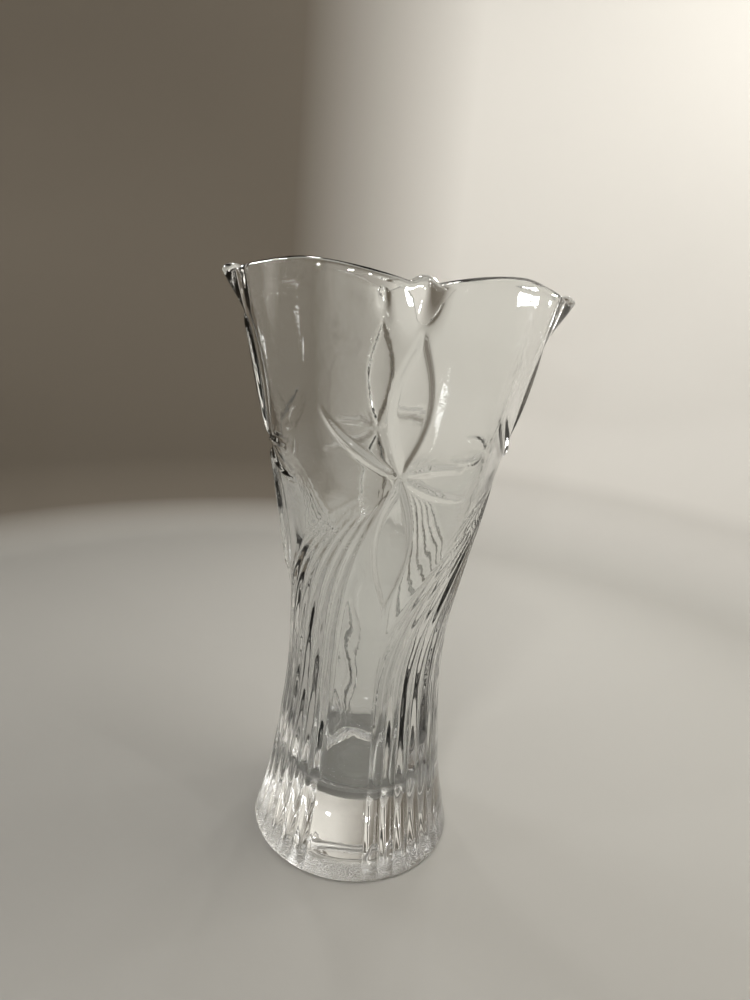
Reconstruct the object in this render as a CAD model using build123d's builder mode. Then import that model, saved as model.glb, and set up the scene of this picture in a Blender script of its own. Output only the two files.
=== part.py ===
"""Cut crystal vase: heavy round foot, narrow fluted waist, flared mouth drawn out to four corners.

The real vase is a single casting of clear glass. It is modelled as the zones of that casting,
stacked face to face: the solid foot, the waist wall, the flaring bowl wall and the four-cornered
rim with its corner knobs. Millimetres, +Z up, origin at the centre of the face it stands on.
"""
import os
from math import cos, pi, radians, sin, sqrt

from build123d import *

os.makedirs("parts", exist_ok=True)

# ---- driving dimensions (mm) ----
HEIGHT = 300.0            # to the top of the four lobes
CORNER_HEIGHT = 292.0     # top of the rim where the lobes meet at a corner
FOOT_RADIUS = 55.0
WAIST_RADIUS = 41.0
WAIST_HEIGHT = 100.0
CORNER_REACH = 84.0       # centre line to the tip of a corner knob

FOOT_BEVEL = 1.7
UNDERSIDE_RADIUS = 40.0   # shallow polished hollow under the foot
UNDERSIDE_FLAT = 35.0     # radius of the hollow's level middle
UNDERSIDE_DEPTH = 1.2
FLOOR_HEIGHT = 30.0       # thickness of solid glass under the water space
FLOOR_RADIUS = 18.0       # flat middle of the water space's floor

FOOT_TOP = 50.0           # the foot zone ends where the wall inside becomes straight
WAIST_TOP = 160.0         # the waist zone ends where the plan stops being round
BOWL_TOP = 250.0          # the bowl zone ends where the corners begin to stand out

LOBES = 4
KNOB_LENGTH = 10.0        # radial length of a corner knob
KNOB_WIDTH = 10.5
KNOB_HEIGHT = 290.6       # height of a knob's middle

# Round zones: (radius, height) on the outside and the inside, from the foot up.
FOOT_JOIN = (45.4, FOOT_TOP)
WAIST_JOIN = (46.2, WAIST_TOP)
OUTER_FOOT = [(FOOT_RADIUS, FOOT_BEVEL), (51.8, 14.0), (48.4, 30.0), FOOT_JOIN]
OUTER_WAIST = [FOOT_JOIN, (42.7, 75.0), (WAIST_RADIUS, WAIST_HEIGHT), (42.2, 130.0), WAIST_JOIN]
INNER_FOOT = [(FLOOR_RADIUS, FLOOR_HEIGHT), (28.5, 34.5), (34.0, FOOT_TOP)]
INNER_WAIST = [(34.0, FOOT_TOP), (34.2, 75.0), (34.4, WAIST_HEIGHT), (36.0, 130.0), (40.2, WAIST_TOP)]
LEAN_AT_FOOT_JOIN = (-0.13, 1)    # direction of the outside where the zones meet
LEAN_AT_WAIST_JOIN = (0.16, 1)

# Four-cornered zones: height, radius at the middle of a lobe, radius at a corner, wall thickness.
BOWL_SECTIONS = [
    (WAIST_TOP, 46.2, 46.2, 6.0),
    (190.0, 51.2, 51.4, 5.6),
    (220.0, 57.2, 58.2, 5.2),
    (BOWL_TOP, 61.6, 65.4, 4.9),
]
RIM_SECTIONS = [
    (BOWL_TOP, 61.6, 65.4, 4.9),
    (268.0, 63.8, 70.0, 4.6),
    (285.0, 65.4, 75.6, 4.4),
    (HEIGHT + 2.0, 66.6, 80.6, 4.2),
]
RING_POINTS = 32          # points on a four-cornered outline
CORNER_SHARPNESS = 2.6    # how narrow the drawn-out corners are


def ring(side, corner):
    """Closed outline: the lobe radius everywhere, drawn out to the corner radius at four places.

    The corners lie on +X, +Y, -X and -Y. At angle a the outline's radius is
    side + (corner - side) * ((1 + cos 4a) / 2) ** sharpness. The outline starts and ends at the
    middle of a lobe, so that its seam stays clear of the knobs.
    """
    points = []
    for step in range(RING_POINTS):
        angle = pi / LOBES + 2 * pi * step / RING_POINTS
        pull = ((1 + cos(LOBES * angle)) / 2) ** CORNER_SHARPNESS
        radius = side + (corner - side) * pull
        points.append((radius * cos(angle), radius * sin(angle)))
    return points


def flared_wall(sections):
    """Wall between an outer and an inner loft through the given sections."""
    with BuildPart() as wall:
        for height, side, corner, _ in sections:
            with BuildSketch(Plane.XY.offset(height)):
                with BuildLine():
                    Spline(*ring(side, corner), periodic=True)
                make_face()
        loft()
        for height, side, corner, thickness in sections:
            with BuildSketch(Plane.XY.offset(height)):
                with BuildLine():
                    Spline(*ring(side - thickness, corner - thickness), periodic=True)
                make_face()
        loft(mode=Mode.SUBTRACT)
    return wall.part


# ---- solid foot: everything below the straight wall, with the rounded floor of the water space ----
with BuildPart() as solid_foot:
    with BuildSketch(Plane.XZ):
        with BuildLine():
            Line((0, UNDERSIDE_DEPTH), (UNDERSIDE_FLAT, UNDERSIDE_DEPTH))
            Line((UNDERSIDE_FLAT, UNDERSIDE_DEPTH), (UNDERSIDE_RADIUS, 0))
            Line((UNDERSIDE_RADIUS, 0), (FOOT_RADIUS - FOOT_BEVEL, 0))
            Line((FOOT_RADIUS - FOOT_BEVEL, 0), OUTER_FOOT[0])
            Spline(*OUTER_FOOT, tangents=[(-0.2, 1), LEAN_AT_FOOT_JOIN])
            Line(OUTER_FOOT[-1], INNER_FOOT[-1])
            Spline(*reversed(INNER_FOOT), tangents=[(0, -1), (-1, 0)])
            Line(INNER_FOOT[0], (0, FLOOR_HEIGHT))
            Line((0, FLOOR_HEIGHT), (0, UNDERSIDE_DEPTH))
        make_face()
    revolve(axis=Axis.Z)

# ---- waist wall: round tube, narrowest a third of the way up ----
with BuildPart() as waist_wall:
    with BuildSketch(Plane.XZ):
        with BuildLine():
            Spline(*OUTER_WAIST, tangents=[LEAN_AT_FOOT_JOIN, LEAN_AT_WAIST_JOIN])
            Line(OUTER_WAIST[-1], INNER_WAIST[-1])
            Spline(*reversed(INNER_WAIST), tangents=[(-0.16, -1), (0, -1)])
            Line(INNER_WAIST[0], OUTER_WAIST[0])
        make_face()
    revolve(axis=Axis.Z)

# ---- bowl wall: flares from the round waist towards the four corners ----
with BuildPart() as bowl_wall:
    add(flared_wall(BOWL_SECTIONS))

# ---- trim of the rim: under each lobe's arch, one quarter of the plan each ----
HALF_CHORD = CORNER_REACH / sqrt(2)       # from the middle of a lobe to its corner, seen square on
TRIM_MARGIN = 20.0                        # how far the trimming solid stands clear of the glass
TRIM_REACH = CORNER_REACH + TRIM_MARGIN
TRIM_BASE = BOWL_TOP - TRIM_MARGIN
ACROSS_LOBE = Plane(origin=(0, 0, 0), x_dir=(-1, 1, 0), z_dir=(1, 1, 0))

with BuildPart() as lobe_trim:
    with BuildSketch(Plane.XY.offset(TRIM_BASE)):
        Rectangle(TRIM_REACH, TRIM_REACH, align=(Align.MIN, Align.MIN))
    extrude(amount=HEIGHT + TRIM_MARGIN - TRIM_BASE)
    with BuildSketch(ACROSS_LOBE):
        with BuildLine():
            ThreePointArc((-HALF_CHORD, CORNER_HEIGHT), (0, HEIGHT), (HALF_CHORD, CORNER_HEIGHT))
            Polyline((HALF_CHORD, CORNER_HEIGHT), (TRIM_REACH, CORNER_HEIGHT - TRIM_MARGIN),
                     (TRIM_REACH, TRIM_BASE), (-TRIM_REACH, TRIM_BASE),
                     (-TRIM_REACH, CORNER_HEIGHT - TRIM_MARGIN), (-HALF_CHORD, CORNER_HEIGHT))
        make_face()
    extrude(amount=2 * TRIM_REACH, mode=Mode.INTERSECT)

with BuildPart() as rim_trim:
    for quarter in range(LOBES):
        add(lobe_trim.part, rotation=(0, 0, quarter * 360 / LOBES))

# ---- corner rim: the four arched lobes, meeting at corners that end in small knobs ----
with BuildPart() as corner_rim:
    add(flared_wall(RIM_SECTIONS))
    add(rim_trim.part, mode=Mode.INTERSECT)
    for quarter in range(LOBES):
        turn = quarter * 360 / LOBES
        with BuildSketch(Plane.XZ.rotated((0, 0, turn))):
            with Locations((CORNER_REACH - KNOB_LENGTH / 2, KNOB_HEIGHT)):
                Ellipse(KNOB_LENGTH / 2, KNOB_WIDTH / 2)
                Rectangle(KNOB_LENGTH, KNOB_WIDTH, align=(Align.CENTER, Align.MAX), mode=Mode.SUBTRACT)
        revolve(axis=Axis((0, 0, KNOB_HEIGHT), (cos(radians(turn)), sin(radians(turn)), 0)))

# ---- names and files ----
ZONES = {
    "solid_foot": solid_foot,
    "waist_wall": waist_wall,
    "bowl_wall": bowl_wall,
    "corner_rim": corner_rim,
}
for name, zone in ZONES.items():
    zone.part.label = name
    export_step(zone.part, f"parts/{name}.step")
    box = zone.part.bounding_box()
    print(f"{name}: volume {zone.part.volume / 1000:.1f} cm3, z {box.min.Z:.1f} to {box.max.Z:.1f}, "
          f"x {box.min.X:.1f} to {box.max.X:.1f}")
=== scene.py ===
# %% [markdown]
# # A cut crystal vase
# This notebook gives a vase of clear crystal its finish, around a frame that holds its real sizes.
# The real vase is one casting: hot glass is pressed round a plunger, so the inside is smooth and the
# outside carries the pattern of the mould. The frame names four zones of that casting, from the foot
# to the rim. Here they are drawn as one unbroken skin of glass, because a seam would show at once.

# %% Load the frame
import math

import bpy
import numpy as np
from mathutils import Matrix, Vector


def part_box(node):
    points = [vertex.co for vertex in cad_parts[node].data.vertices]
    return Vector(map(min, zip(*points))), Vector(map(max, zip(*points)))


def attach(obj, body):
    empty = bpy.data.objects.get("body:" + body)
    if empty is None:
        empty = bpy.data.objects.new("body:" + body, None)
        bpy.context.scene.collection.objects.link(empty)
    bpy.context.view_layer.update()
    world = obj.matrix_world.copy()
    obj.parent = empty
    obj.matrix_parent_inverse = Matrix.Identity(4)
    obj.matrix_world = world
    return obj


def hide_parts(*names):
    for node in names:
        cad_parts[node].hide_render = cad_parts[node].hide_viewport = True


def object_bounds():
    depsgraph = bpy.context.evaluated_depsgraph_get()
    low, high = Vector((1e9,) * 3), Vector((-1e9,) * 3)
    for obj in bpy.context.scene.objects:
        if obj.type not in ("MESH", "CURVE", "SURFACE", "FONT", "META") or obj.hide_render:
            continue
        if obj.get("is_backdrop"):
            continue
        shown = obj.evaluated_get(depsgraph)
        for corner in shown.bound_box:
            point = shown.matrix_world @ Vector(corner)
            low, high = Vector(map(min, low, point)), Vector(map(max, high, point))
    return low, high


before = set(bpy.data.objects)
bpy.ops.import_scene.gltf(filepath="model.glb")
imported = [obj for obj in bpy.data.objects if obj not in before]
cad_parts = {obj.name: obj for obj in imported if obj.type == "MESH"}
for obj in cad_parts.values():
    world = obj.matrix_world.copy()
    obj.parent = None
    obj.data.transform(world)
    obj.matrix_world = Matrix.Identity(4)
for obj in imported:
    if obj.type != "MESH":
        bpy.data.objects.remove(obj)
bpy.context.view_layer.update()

MM = 0.001
zone = {name: [np.array(corner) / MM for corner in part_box(name)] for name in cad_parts}
for name, (low, high) in zone.items():
    print(f"{name}: from {low[2]:.0f} to {high[2]:.0f} mm high, {high[0]:.1f} mm from the axis")

# %% [markdown]
# ## The silhouette
# Seen from the side, the vase is a smooth line: a heavy foot, a waist a third of the way up, and a
# mouth that flares. Such a line could be a Bezier curve drawn by hand. A natural cubic spline is used
# instead, because it gives a radius for every height at once, which is what a numpy grid needs.

# %% Smooth curves through a few points
def through(*points):
    """The natural cubic spline y(x) through the points (x, y).

    Between two neighbours the curve is a cubic, and the bends m at the points solve
    h0 m0 + 2 (h0 + h1) m1 + h1 m2 = 6 (slope1 - slope0), with no bend at either end.
    """
    x, y = np.array(points, float).T
    h = np.diff(x)
    inner = np.arange(1, len(x) - 1)
    system = np.eye(len(x))
    system[inner, inner - 1] = h[:-1]
    system[inner, inner] = 2 * (h[:-1] + h[1:])
    system[inner, inner + 1] = h[1:]
    change = np.zeros(len(x))
    change[inner] = 6 * np.diff(np.diff(y) / h)
    bend = np.linalg.solve(system, change)

    def curve(at):
        at = np.clip(at, x[0], x[-1])
        k = np.clip(np.searchsorted(x, at) - 1, 0, len(h) - 1)
        past, left = at - x[k], x[k + 1] - at
        cubic = (bend[k] * left**3 + bend[k + 1] * past**3) / (6 * h[k])
        return (cubic + (y[k] / h[k] - bend[k] * h[k] / 6) * left
                + (y[k + 1] / h[k] - bend[k + 1] * h[k] / 6) * past)

    return curve


def smooth(t):
    """0 below t = 0, 1 above t = 1, and 3 t^2 - 2 t^3 between, which starts and ends level."""
    t = np.clip(t, 0.0, 1.0)
    return t * t * (3 - 2 * t)


# %% Radii of the outside and the inside, in millimetres
FOOT_RADIUS = zone["solid_foot"][1][0]
FOOT_TOP = zone["solid_foot"][1][2]
WAIST_TOP = zone["waist_wall"][1][2]
BOWL_TOP = zone["bowl_wall"][1][2]
HEIGHT = zone["corner_rim"][1][2]
CORNER_REACH = zone["corner_rim"][1][0]

BEVEL = 1.7
FLOOR_HEIGHT = 30.0
FLOOR_RADIUS = 18.0
BORE_RADIUS = 34.0
HOLLOW_RADIUS = 40.0
HOLLOW_DEPTH = 1.2

lobe_radius = through((BEVEL, FOOT_RADIUS), (14, 51.8), (30, 48.4), (FOOT_TOP, 45.4), (75, 42.7),
                      (100, 41.0), (130, 42.2), (WAIST_TOP, 46.2), (190, 51.2), (220, 57.2),
                      (BOWL_TOP, 61.6), (268, 63.8), (285, 65.4), (302, 66.6))
corner_pull = through((WAIST_TOP, 0), (190, 0.2), (220, 1.0), (BOWL_TOP, 3.8), (268, 6.2),
                      (285, 10.2), (302, 14.0))
inner_radius = through((FOOT_TOP, BORE_RADIUS), (75, 34.2), (100, 34.4), (130, 36.0),
                       (WAIST_TOP, 40.2), (190, 45.6), (220, 52.0), (BOWL_TOP, 56.7), (268, 59.2),
                       (285, 61.0), (302, 62.4))
for height in (FOOT_TOP, 100.0, WAIST_TOP, BOWL_TOP):
    wall = float(lobe_radius(height) - inner_radius(height))
    print(f"wall {wall:.1f} mm thick at height {height:.0f}")

# %% [markdown]
# ## Four corners
# Towards the mouth the round plan is drawn out at four places, and each corner ends in a small knob
# of glass. A cosine of four times the angle is 1 at each corner and -1 at the middle of each lobe.
# Raised to a power it becomes narrow, so the corners stay slim and the lobes keep their round.

# %% Plan, arches and knobs
LOBES = 4
CORNER_SHARPNESS = 2.6
CORNER_TOP = 292.0        # the rim where two arches meet, before the knob rises out of it
LIP_HEIGHT = 2.1          # half the height of the fire-polished lip
KNOB_HALF_WIDTH = 6.4
KNOB_TOP = 296.0
KNOB_LIP = 3.4            # half the height of the knob's rounded top
KNOB_ROOT = 268.0         # where a corner begins to run out into its knob


def from_corner(angle, radius):
    """Sideways distance in mm to the nearest corner: radius times the sine of the angle to it."""
    quarter = 2 * np.pi / LOBES
    off = (angle + quarter / 2) % quarter - quarter / 2
    return radius * np.sin(off)


def plan(angle, height, base, pull):
    """Radius of the plan: base + pull ((1 + cos 4 angle) / 2)^sharpness."""
    corner = ((1 + np.cos(LOBES * angle)) / 2) ** CORNER_SHARPNESS
    return base(height) + pull(height) * corner


def knob_share(side):
    """1 at the middle of a knob and 0 at its edge: (1 - (side / half width)^2)^0.8."""
    return np.clip(1 - (side / KNOB_HALF_WIDTH) ** 2, 0, 1) ** 0.8


def rim_height(angle):
    """Height of the rim without its knobs: each lobe is the arch top - rise (chord / half)^1.6."""
    middle = (angle % (2 * np.pi / LOBES)) - np.pi / LOBES
    chord = np.tan(middle) / np.tan(np.pi / LOBES)
    return HEIGHT - (HEIGHT - CORNER_TOP) * np.abs(chord) ** 1.6


# %% [markdown]
# ## The pattern of the mould
# A flower sits on each corner: two large petals, one up and one down, and slim leaves to the sides.
# From each flower six convex flutes sweep down and round to the foot, where they run straight. Each
# motif could be a separate mesh laid on the vase, but a real pattern is part of the same skin. So the
# motifs are written as heights above the skin, worked out for the whole grid, and added to the radius.

# %% Petals and leaves
FLOWER_TURN = math.radians(1.5)      # the flowers sit a little to one side of the corners
STAMENS = ((14.5, 8.5), (11.0, 11.0), (7.5, 12.0))      # how far each one reaches across and up
FLOWER_HEIGHT = 214.0


def leaf(x, z, start, end, half_width, rise, edge, crown=0.0, bow=0.0, skew=1.0):
    """Height of a raised leaf from start to end, on a skin unrolled to x along and z up, in mm.

    s runs from 0 to 1 along the leaf and n across it, less bow 4 s (1 - s). The half width is
    half_width sin(pi s^skew). From the outline the leaf rises over the width of its edge to
    rise, and its middle is crowned by crown (1 - (n / half width)^2).
    """
    chord = np.subtract(end, start)
    length = np.hypot(*chord)
    along = chord / length
    s = np.clip(((x - start[0]) * along[0] + (z - start[1]) * along[1]) / length, 0, 1)
    n = (z - start[1]) * along[0] - (x - start[0]) * along[1] - bow * 4 * s * (1 - s)
    width = half_width * np.sin(np.pi * s**skew)
    inside = np.clip(width - np.abs(n), 0, None)
    dome = np.clip(1 - (n / np.maximum(width, 0.01)) ** 2, 0, 1)
    share = np.clip(width / half_width, 0, 1)
    return rise * smooth(inside / edge) + crown * dome * share * smooth(inside / edge)


def flower(x, z):
    """Height of one flower's petals, leaves and stamens: the highest of them at each point."""
    parts = [
        leaf(x, z, (0, 214.5), (0.6, 277), 9.2, rise=1.8, edge=2.9, crown=0.9),
        leaf(x, z, (0.5, 225), (1.0, 270), 1.2, rise=3.0, edge=1.2),
        leaf(x, z, (0, 213.5), (0, 145), 8.8, rise=1.9, edge=2.7, crown=0.7, skew=0.9),
        leaf(x, z, (0, 207), (0.8, 138), 1.1, rise=3.0, edge=1.2),
        leaf(x, z, (-1, 214.5), (-42, 244), 2.6, rise=1.4, edge=1.9, bow=3.5, skew=0.7),
        leaf(x, z, (1, 215), (33, 216.5), 2.2, rise=1.4, edge=1.7, bow=2.6, skew=0.7),
        leaf(x, z, (1, 213.5), (38, 203), 2.2, rise=1.4, edge=1.7, bow=-3.0, skew=0.7),
    ]
    for reach, climb in STAMENS:
        tip = (1.5 + reach, FLOWER_HEIGHT + climb)
        parts.append(leaf(x, z, (1.5, FLOWER_HEIGHT + 1), tip, 0.9, rise=0.6, edge=1.0))
    return np.max(parts, axis=0)


# %% [markdown]
# ## The flutes
# On the foot the six flutes are upright. Higher up they turn towards their flower and narrow until
# they meet in its centre. One rule does both: an angle measured from the flower shrinks by the same
# share for every flute. Dividing by that share straightens the bundle again, so each flute is simply
# a stretch of the straightened angle.

# %% Flutes
FLUTES = 6
FLUTE_PITCH = math.radians(9.67)
PANEL = math.radians(30.5)           # from under the flower to the first flute, left plain
SWEEP_START = 99.0
SWEEP_POWER = 2.07
FLUTE_DEPTH = 2.0
FLUTE_SOFTNESS = 0.16
GROOVE_SHARE = 0.4                   # how much of the depth lies below the plain skin
BUNDLE_START = math.radians(1.5)     # past this angle a point belongs to the next flower's flutes
PETAL_COVER = 0.9                    # where a petal stands this high, no flute shows in it


def flutes(angle, z, radius):
    """Height of the flutes, with angle measured from the flower (negative on the flutes' side).

    The bundle's spread falls from 1 to 0 as 1 - ((z - start) / (flower - start))^power. Across a
    flute the height is the soft |sin|: sqrt(sin^2 + e^2) - e, scaled to 0 in a groove, 1 on a crest.
    """
    climb = np.clip((z - SWEEP_START) / (FLOWER_HEIGHT - SWEEP_START), 0, 1)
    spread = np.clip(1 - climb**SWEEP_POWER, 0.003, 1)
    q = (-angle / spread - PANEL) / FLUTE_PITCH
    soft = np.hypot(np.sin(np.pi * q), FLUTE_SOFTNESS) - FLUTE_SOFTNESS
    crest = soft / (math.hypot(1, FLUTE_SOFTNESS) - FLUTE_SOFTNESS)
    width = FLUTE_PITCH * spread * radius
    depth = FLUTE_DEPTH * smooth(width / 7.0)
    outside = np.maximum(-q, q - FLUTES) * width
    edge = np.exp(-np.clip(outside, 0, None) ** 2)
    return depth * np.where(outside > 0, -GROOVE_SHARE * edge, crest - GROOVE_SHARE)


def relief(angle, z, radius):
    """Height of the whole pattern, the same in each quarter: flutes, flat where a petal lies.

    The flutes times 1 - smooth(petals / PETAL_COVER), plus the petals.
    """
    quarter = 2 * np.pi / LOBES
    off = (angle - FLOWER_TURN + quarter / 2) % quarter - quarter / 2
    bundle = np.where(off > BUNDLE_START, off - quarter, off)
    petals = flower(off * radius, z)
    ground = flutes(bundle, z, radius)
    return ground * (1 - smooth(petals / PETAL_COVER)) + petals


# %% Depth of the pattern
turns, levels = np.meshgrid(np.linspace(0, np.pi / 2, 900), np.linspace(10, 280, 900))
pattern = relief(turns, levels, lobe_radius(levels))
print(f"pattern from {pattern.min():.1f} mm below the plain skin to {pattern.max():.1f} mm above")


# %% [markdown]
# ## One closed skin
# A grid of rows and columns covers the whole surface of the glass. The rows start under the foot,
# climb the outside, turn over the lip, go down the inside and end in the middle of the floor. Rows
# are close together where the pattern is fine and far apart on the inside. There the wall has no
# pattern, only the slight waviness and the ring on the floor that the plunger leaves.

# %% Rows of the underside
COLUMNS = 440
angle = np.arange(COLUMNS) * 2 * np.pi / COLUMNS
rows = []                            # each row is (radius, height), one value for each column


def add_row(radius, height):
    rows.append((radius + 0 * angle, height + 0 * angle))


# underside: the shallow polished hollow, the ring that the vase rests on, and the rounded edge
for radius, height in ((12, HOLLOW_DEPTH), (35, HOLLOW_DEPTH), (37.5, 0.7), (HOLLOW_RADIUS, 0.0),
                       (FOOT_RADIUS - BEVEL - 1, 0.0)):
    add_row(radius, height)
for turn in np.linspace(0, np.pi / 2, 4)[:-1]:
    add_row(FOOT_RADIUS - BEVEL * (1 - np.sin(turn)), BEVEL * (1 - np.cos(turn)))

print(f"underside: {len(rows)} rows of {COLUMNS} points")

# %% Rows of the outside
STRETCH_FROM = 262.0      # from here up, the rows follow the arches of the rim and the knobs
RIM_RADIUS = 80.0
heights = np.concatenate([np.linspace(BEVEL, 20, 8)[:-1], np.linspace(20, 130, 27)[:-1],
                          np.linspace(130, 196, 40)[:-1], np.linspace(196, STRETCH_FROM, 56)[:-1],
                          np.linspace(STRETCH_FROM, HEIGHT, 25)])
knob = knob_share(from_corner(angle, RIM_RADIUS))
lip_top = np.maximum(rim_height(angle), CORNER_TOP + (KNOB_TOP - CORNER_TOP) * knob)
lip_half = LIP_HEIGHT + (KNOB_LIP - LIP_HEIGHT) * knob
shoulder = lip_top - lip_half


def outer_radius(angle, height):
    """Skin outside: plan plus relief, and each corner runs out into its knob.

    The run is what is missing to the knob's reach, times climb^2.2, times exp(-(side / 6)^2),
    where climb goes from 0 at the knob's root to 1 at the shoulder of the lip.
    """
    plain = plan(angle, height, lobe_radius, corner_pull)
    fade = smooth((height - BEVEL) / 5.0) * smooth((shoulder - height) / 5.0)
    climb = np.clip((height - KNOB_ROOT) / (KNOB_TOP - KNOB_LIP - KNOB_ROOT), 0, 1)
    corner = plan(0.0, height, lobe_radius, corner_pull)
    run = (CORNER_REACH - corner) * climb**2.2 * np.exp(-(from_corner(angle, plain) / 6.0) ** 2)
    return plain + run + fade * relief(angle, height, plain)


for height in heights:
    share = max(0.0, (height - STRETCH_FROM) / (HEIGHT - STRETCH_FROM))
    level = np.where(share > 0, STRETCH_FROM + share * (shoulder - STRETCH_FROM), height)
    add_row(outer_radius(angle, level), level)
print(f"outside: {len(heights)} rows")

# %% Rows of the lip and the inside
RIPPLE_DEPTH = 0.28
PLUNGER_RING = 0.7        # height of the faint ring that the plunger's end leaves on the floor
PLUNGER_RING_RADIUS = 13.5


def ripple(angle, height):
    """Waviness that the plunger leaves inside, in mm, gone at either end of the wall.

    Two sines that cross, plus half of a third one: sin(6a + z / 11) sin(z / 7.5 + 2 sin 3a)
    + 0.5 sin(11a - z / 17 + 1.3), with a the angle and z the height.
    """
    fade = smooth((height - FOOT_TOP) / 12) * smooth((235 - height) / 60)
    first = np.sin(6 * angle + height / 11) * np.sin(height / 7.5 + 2 * np.sin(3 * angle))
    second = np.sin(11 * angle - height / 17 + 1.3)
    return RIPPLE_DEPTH * fade * (first + 0.5 * second)


# lip: half an ellipse from the outside to the inside
outside = rows[-1][0]
inside = plan(angle, shoulder, inner_radius, corner_pull)
for turn in np.linspace(0, np.pi, 13)[1:]:
    half = (outside - inside) / 2
    add_row(inside + half * (1 + np.cos(turn)), shoulder + lip_half * np.sin(turn))

# inside: wall, rounded floor and the plunger's ring
for share in np.linspace(1, 0, 40)[1:] ** 1.2:
    level = FOOT_TOP + share * (shoulder - FOOT_TOP)
    add_row(plan(angle, level, inner_radius, corner_pull) + ripple(angle, level), level)
for turn in np.linspace(np.pi / 2, 0, 9)[1:]:
    add_row(FLOOR_RADIUS + (BORE_RADIUS - FLOOR_RADIUS) * np.sin(turn),
            FOOT_TOP - (FOOT_TOP - FLOOR_HEIGHT) * np.cos(turn))
for radius in (15.5, 13.5, 11.5, 9.0, 5.0):
    swell = np.exp(-((radius - PLUNGER_RING_RADIUS) / 2.0) ** 2)
    add_row(radius, FLOOR_HEIGHT + PLUNGER_RING * swell)
print(f"{len(rows)} rows in all")


# %% Mesh from rows
def skin_mesh(name, rows, first_pole, last_pole):
    """Closed mesh from rows of (radius, height): x = r cos, y = r sin, z = height.

    Each cell between two rows and two columns is a quad, and a fan of triangles closes each pole.
    """
    radius, height = np.array(rows).transpose(1, 0, 2)
    ring = np.stack([radius * np.cos(angle), radius * np.sin(angle), height], axis=-1)
    count, columns = radius.shape
    points = np.concatenate([ring.reshape(-1, 3), [[0, 0, first_pole], [0, 0, last_pole]]]) * MM
    here = np.arange(columns)
    after = (here + 1) % columns
    base = np.arange(count - 1)[:, None] * columns
    quads = np.stack([base + here, base + after, base + columns + after, base + columns + here], -1)
    last = (count - 1) * columns
    low_fan = np.stack([np.full(columns, count * columns), after, here], axis=-1)
    high_fan = np.stack([last + here, last + after, np.full(columns, count * columns + 1)], axis=-1)
    corners = np.concatenate([quads.ravel(), low_fan.ravel(), high_fan.ravel()])
    sizes = np.concatenate([np.full(quads.size // 4, 4), np.full(2 * columns, 3)])

    mesh = bpy.data.meshes.new(name)
    mesh.vertices.add(len(points))
    mesh.vertices.foreach_set("co", points.astype(np.float32).ravel())
    mesh.loops.add(len(corners))
    mesh.loops.foreach_set("vertex_index", corners.astype(np.int32))
    mesh.polygons.add(len(sizes))
    mesh.polygons.foreach_set("loop_start", (np.cumsum(sizes) - sizes).astype(np.int32))
    mesh.update(calc_edges=True)
    mesh.validate()
    mesh.shade_smooth()
    piece = bpy.data.objects.new(name, mesh)
    bpy.context.scene.collection.objects.link(piece)
    return piece


vase = skin_mesh("crystal_vase", rows, HOLLOW_DEPTH, FLOOR_HEIGHT)
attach(vase, "root")
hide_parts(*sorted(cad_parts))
vase.data.calc_loop_triangles()
print(f"crystal_vase: {len(vase.data.loop_triangles)} triangles")

# %% [markdown]
# ## Shader maths as plain expressions
# A material is a graph of nodes, which is slow to read in code. A small class wraps one socket and
# overloads the operators, so that `0.02 + 0.3 * mask` adds the two Math nodes it needs.


# %% A socket that can be added and multiplied
class Wire:
    """One output socket of a node tree. Sums and products of wires and numbers add Math nodes."""

    def __init__(self, tree, socket):
        self.tree, self.socket = tree, socket

    def math(self, operation, *others):
        """The Math node of this operation on this wire and the others."""
        made = self.tree.nodes.new("ShaderNodeMath")
        made.operation = operation
        for slot, value in zip(made.inputs, (self, *others)):
            connect(self.tree, slot, value)
        return Wire(self.tree, made.outputs[0])

    def __add__(self, other):
        return self.math("ADD", other)

    def __mul__(self, other):
        return self.math("MULTIPLY", other)

    def __sub__(self, other):
        return self.math("SUBTRACT", other)

    def __rsub__(self, other):
        return self.math("MULTIPLY", -1.0).math("ADD", other)

    __radd__ = __add__
    __rmul__ = __mul__

    def clamp(self):
        """The wire held between 0 and 1."""
        return self.math("MAXIMUM", 0.0).math("MINIMUM", 1.0)

    def ramp(self, low, high):
        """0 where the wire is low, 1 where it is high, straight between."""
        return ((self - low) * (1.0 / (high - low))).clamp()


def connect(tree, slot, value):
    """Links a wire to a socket, or sets the socket's own value."""
    if isinstance(value, Wire):
        tree.links.new(value.socket, slot)
    else:
        slot.default_value = value


def add_node(tree, kind, output=0, settings=None, **sockets):
    """A node of this kind as a wire. A socket called Noise Scale is given as noise_scale=..."""
    made = tree.nodes.new(kind)
    for name, value in (settings or {}).items():
        setattr(made, name, value)
    named = {s.identifier.lower().replace(" ", "_"): s for s in made.inputs}
    for name, value in sockets.items():
        connect(tree, named[name], value)
    return Wire(tree, made.outputs[output])


# %% [markdown]
# ## Crystal
# Clear glass has no colour of its own: it shows what is behind it, bent. What makes it look real is
# the little that isn't perfect. Pressed crystal has a faint waviness from the mould, finer ripples
# where the glass chilled, a slight grey-green tint in its thick foot, and a ring of fine scratches
# where it stands. Each is a small noise or a band of height.

# %% The crystal material
INDEX_OF_CRYSTAL = 1.53


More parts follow.
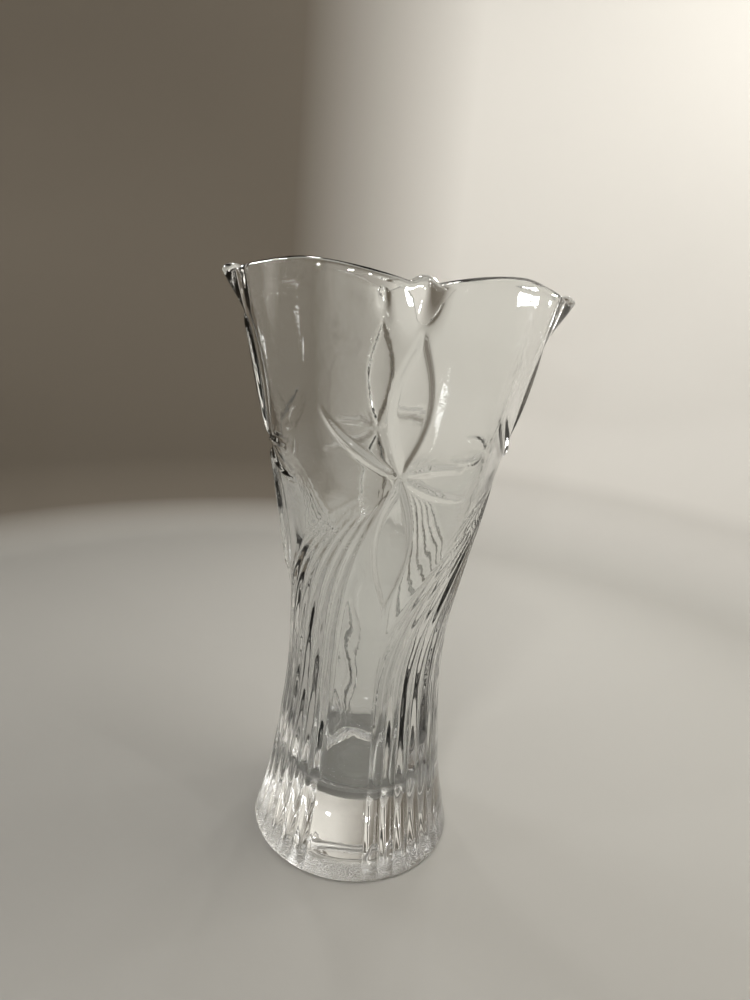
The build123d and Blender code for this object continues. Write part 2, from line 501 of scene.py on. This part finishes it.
def crystal_material():
    """Clear pressed crystal: wavy, faintly tinted and a little worn under the foot."""
    material = bpy.data.materials.new("pressed_crystal")
    material.use_nodes = True
    tree = material.node_tree
    tree.nodes.clear()
    place = add_node(tree, "ShaderNodeTexCoord", 3)
    height = add_node(tree, "ShaderNodeSeparateXYZ", 2, vector=place)

    mould = add_node(tree, "ShaderNodeTexNoise", vector=place, scale=70.0, detail=2.0)
    chill = add_node(tree, "ShaderNodeTexNoise", vector=place, scale=420.0, detail=3.0)
    squeezed = add_node(tree, "ShaderNodeMapping", vector=place, scale=(9.0, 9.0, 60.0))
    flow = add_node(tree, "ShaderNodeTexNoise", vector=squeezed, scale=3.0, detail=2.0)
    waves = 0.6 * mould + 0.08 * chill + 0.35 * flow
    normal = add_node(tree, "ShaderNodeBump", height=waves, distance=0.00035, strength=0.5)

    scuffs = add_node(tree, "ShaderNodeTexNoise", vector=place, scale=900.0, detail=4.0)
    resting = height.ramp(0.0012, 0.0002)
    film = add_node(tree, "ShaderNodeTexNoise", vector=place, scale=26.0, detail=4.0)
    roughness = 0.004 + 0.02 * film.ramp(0.5, 0.8) + resting * (0.1 + 0.35 * scuffs)

    tint = add_node(tree, "ShaderNodeMix", 2, {"data_type": "RGBA"}, factor_float=film,
                    a_color=(0.985, 0.992, 0.988, 1), b_color=(0.955, 0.968, 0.962, 1))

    shader = tree.nodes.new("ShaderNodeBsdfPrincipled")
    connect(tree, shader.inputs["Base Color"], tint)
    connect(tree, shader.inputs["Roughness"], roughness)
    connect(tree, shader.inputs["Normal"], normal)
    shader.inputs["IOR"].default_value = INDEX_OF_CRYSTAL
    shader.inputs["Transmission Weight"].default_value = 1.0
    out = tree.nodes.new("ShaderNodeOutputMaterial")
    tree.links.new(shader.outputs[0], out.inputs["Surface"])
    return material


vase.data.materials.append(crystal_material())
print("crystal:", len(vase.data.materials[0].node_tree.nodes), "nodes")

# %% [markdown]
# ## A studio for glass
# Glass is lit by what surrounds it. A pale floor that curves up into a wall all the way round gives
# every view a plain background. The left side of the wall carries painted shade, dark as if it stood
# in shadow, so every edge of the pattern bends in something light or something dark, and the edges
# show. One soft lamp could light it all, but glass sparkles only when it finds small bright lamps, so
# a ring of them stands round the vase.

# %% Floor and wall
STUDIO_RADIUS = 0.56
COVE_RADIUS = 0.08
WALL_HEIGHT = 1.3
FLOOR_SIDES = 96
FLOOR_GAP = 0.0004        # no two polished faces touch all over, so a film of air stays between


def studio_floor():
    """Floor, cove and wall: a line of points (radius, height) turned round the axis."""
    turn = np.linspace(0, np.pi / 2, 24)
    sides = FLOOR_SIDES
    radius = np.concatenate([[0.05, 0.4], STUDIO_RADIUS - COVE_RADIUS * (1 - np.sin(turn)),
                             [STUDIO_RADIUS]])
    height = np.concatenate([[0, 0], COVE_RADIUS * (1 - np.cos(turn)), [WALL_HEIGHT]]) - FLOOR_GAP
    around = np.arange(sides) * 2 * np.pi / sides
    points = np.stack([radius[:, None] * np.cos(around), radius[:, None] * np.sin(around),
                       height[:, None] + 0 * around], -1).reshape(-1, 3)
    here, after = np.arange(sides), (np.arange(sides) + 1) % sides
    base = np.arange(len(radius) - 1)[:, None] * sides
    quads = np.stack([base + here, base + sides + here, base + sides + after, base + after], -1)
    points = np.concatenate([points, [[0, 0, -FLOOR_GAP]]])
    fan = np.stack([np.full(sides, len(points) - 1), here, after], -1)
    mesh = bpy.data.meshes.new("studio_floor")
    mesh.from_pydata(points.tolist(), [], quads.reshape(-1, 4).tolist() + fan.tolist())
    mesh.shade_smooth()
    floor = bpy.data.objects.new("studio_floor", mesh)
    bpy.context.scene.collection.objects.link(floor)
    return floor


def paper_material():
    """Matt paper: floor pale, wall brighter, and painted shade, dark taupe, on the left of the wall.
    """
    material = bpy.data.materials.new("studio_paper")
    material.use_nodes = True
    tree = material.node_tree
    place = add_node(tree, "ShaderNodeTexCoord", 3)
    across = add_node(tree, "ShaderNodeSeparateXYZ", 0, vector=place)
    height = add_node(tree, "ShaderNodeSeparateXYZ", 2, vector=place)
    # painted shade: the left of the wall is darkened towards taupe in its colour, as if it stood in
    # shadow
    shade = across.ramp(0.12, -0.08) * height.ramp(-0.001, 0.03)
    pale = add_node(tree, "ShaderNodeMix", 2, {"data_type": "RGBA"},
                    factor_float=height.ramp(-0.001, 0.1),
                    a_color=(0.33, 0.32, 0.295, 1), b_color=(0.70, 0.68, 0.64, 1))
    paper_with_painted_shade = add_node(tree, "ShaderNodeMix", 2, {"data_type": "RGBA"}, factor_float=shade,
                    a_color=pale, b_color=(0.13, 0.11, 0.085, 1))
    shader = tree.nodes["Principled BSDF"]
    connect(tree, shader.inputs["Base Color"], paper_with_painted_shade)
    shader.inputs["Roughness"].default_value = 0.9
    return material


floor = studio_floor()
floor.data.materials.append(paper_material())
floor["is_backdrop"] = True
print(f"studio floor: {len(floor.data.polygons)} faces, {STUDIO_RADIUS:.2f} m in radius")


# %% Lamps and sky
def lamp(name, place, target, size, power, colour):
    """A square soft lamp at place, facing target."""
    light = bpy.data.lights.new(name, "AREA")
    light.shape = "RECTANGLE"
    light.size, light.size_y = size
    light.energy = power
    light.color = colour
    holder = bpy.data.objects.new(name, light)
    holder.location = place
    holder.rotation_euler = (Vector(target) - Vector(place)).to_track_quat("-Z", "Y").to_euler()
    holder.visible_camera = False
    bpy.context.scene.collection.objects.link(holder)


MIDDLE = (0.0, 0.0, HEIGHT * MM / 2)
BOUNCES = 24              # light crosses many walls of glass before it reaches the camera
lamp("wall_softbox", (0.32, 0.0, 0.8), (0.5, 0.4, 0.15), (0.25, 0.25), 3.2, (1.0, 0.98, 0.94))
lamp("key_lamp", (-0.12, -0.45, 0.75), MIDDLE, (0.06, 0.06), 1.6, (1.0, 0.98, 0.95))
lamp("rim_lamp", (-0.42, 0.25, 0.52), (0.0, 0.0, 0.2), (0.09, 0.03), 0.5, (0.96, 0.98, 1.0))
lamp("base_lamp", (0.24, 0.42, 0.3), (0.0, 0.0, 0.02), (0.08, 0.04), 0.45, (1.0, 1.0, 1.0))
lamp("back_lamp", (-0.2, 0.5, 0.8), MIDDLE, (0.06, 0.06), 0.9, (1.0, 0.99, 0.97))
SPARKLE_TURNS = (20, 75, 140, 200, 255, 320)      # degrees round the vase, uneven on purpose
SPARKLE_RADIUS = 0.5
for step, turn in enumerate(SPARKLE_TURNS):
    bearing = math.radians(turn)
    spot = (SPARKLE_RADIUS * math.cos(bearing), SPARKLE_RADIUS * math.sin(bearing),
            0.3 + 0.07 * (step % 3))
    lamp(f"sparkle_{step}", spot, MIDDLE, (0.016, 0.016), 0.3, (1.0, 1.0, 1.0))

world = bpy.data.worlds.new("dim_room")
world.use_nodes = True
world.node_tree.nodes["Background"].inputs["Color"].default_value = (0.42, 0.42, 0.41, 1)
world.node_tree.nodes["Background"].inputs["Strength"].default_value = 0.4
bpy.context.scene.world = world
bpy.context.scene.view_settings.view_transform = "Standard"
bpy.context.scene.cycles.max_bounces = BOUNCES
bpy.context.scene.cycles.transmission_bounces = BOUNCES
lamps = [thing for thing in bpy.context.scene.objects if thing.type == "LIGHT"]
print(len(lamps), "lamps and a dim sky")

# %% [markdown]
# ## The camera
# It stands close, near the height of the rim, and looks down along the vase, so the foot looks small
# and the corners reach out. Its turn is built from three directions: right, up and back.

# %% Camera
CAMERA_AZIMUTH = math.radians(-5.893)
CAMERA_DISTANCE = 0.34487
CAMERA_HEIGHT = 0.28508
LOOK_TURN = math.radians(-5.367)
LOOK_DOWN = math.radians(15.787)
ROLL = math.radians(-5.566)

camera = bpy.data.objects.new("camera", bpy.data.cameras.new("camera"))
camera.data.lens = 25.2
camera.data.sensor_width = 36.0
ahead = Vector((-math.sin(LOOK_TURN) * math.cos(LOOK_DOWN),
                math.cos(LOOK_TURN) * math.cos(LOOK_DOWN), -math.sin(LOOK_DOWN)))
level = ahead.cross(Vector((0, 0, 1))).normalized()
under = ahead.cross(level)
right = math.cos(ROLL) * level + math.sin(ROLL) * under
down = math.cos(ROLL) * under - math.sin(ROLL) * level
camera.matrix_world = Matrix.Translation((
    CAMERA_DISTANCE * math.sin(CAMERA_AZIMUTH), -CAMERA_DISTANCE * math.cos(CAMERA_AZIMUTH),
    CAMERA_HEIGHT)) @ Matrix((right, -down, -ahead)).transposed().to_4x4()
bpy.context.scene.collection.objects.link(camera)
bpy.context.scene.camera = camera
print("camera at", [round(value, 3) for value in camera.location])

# %% [markdown]
# ## Sizes
# The box round the finished vase is worked out.

# %% Sizes and finish
bpy.context.view_layer.update()
low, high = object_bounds()
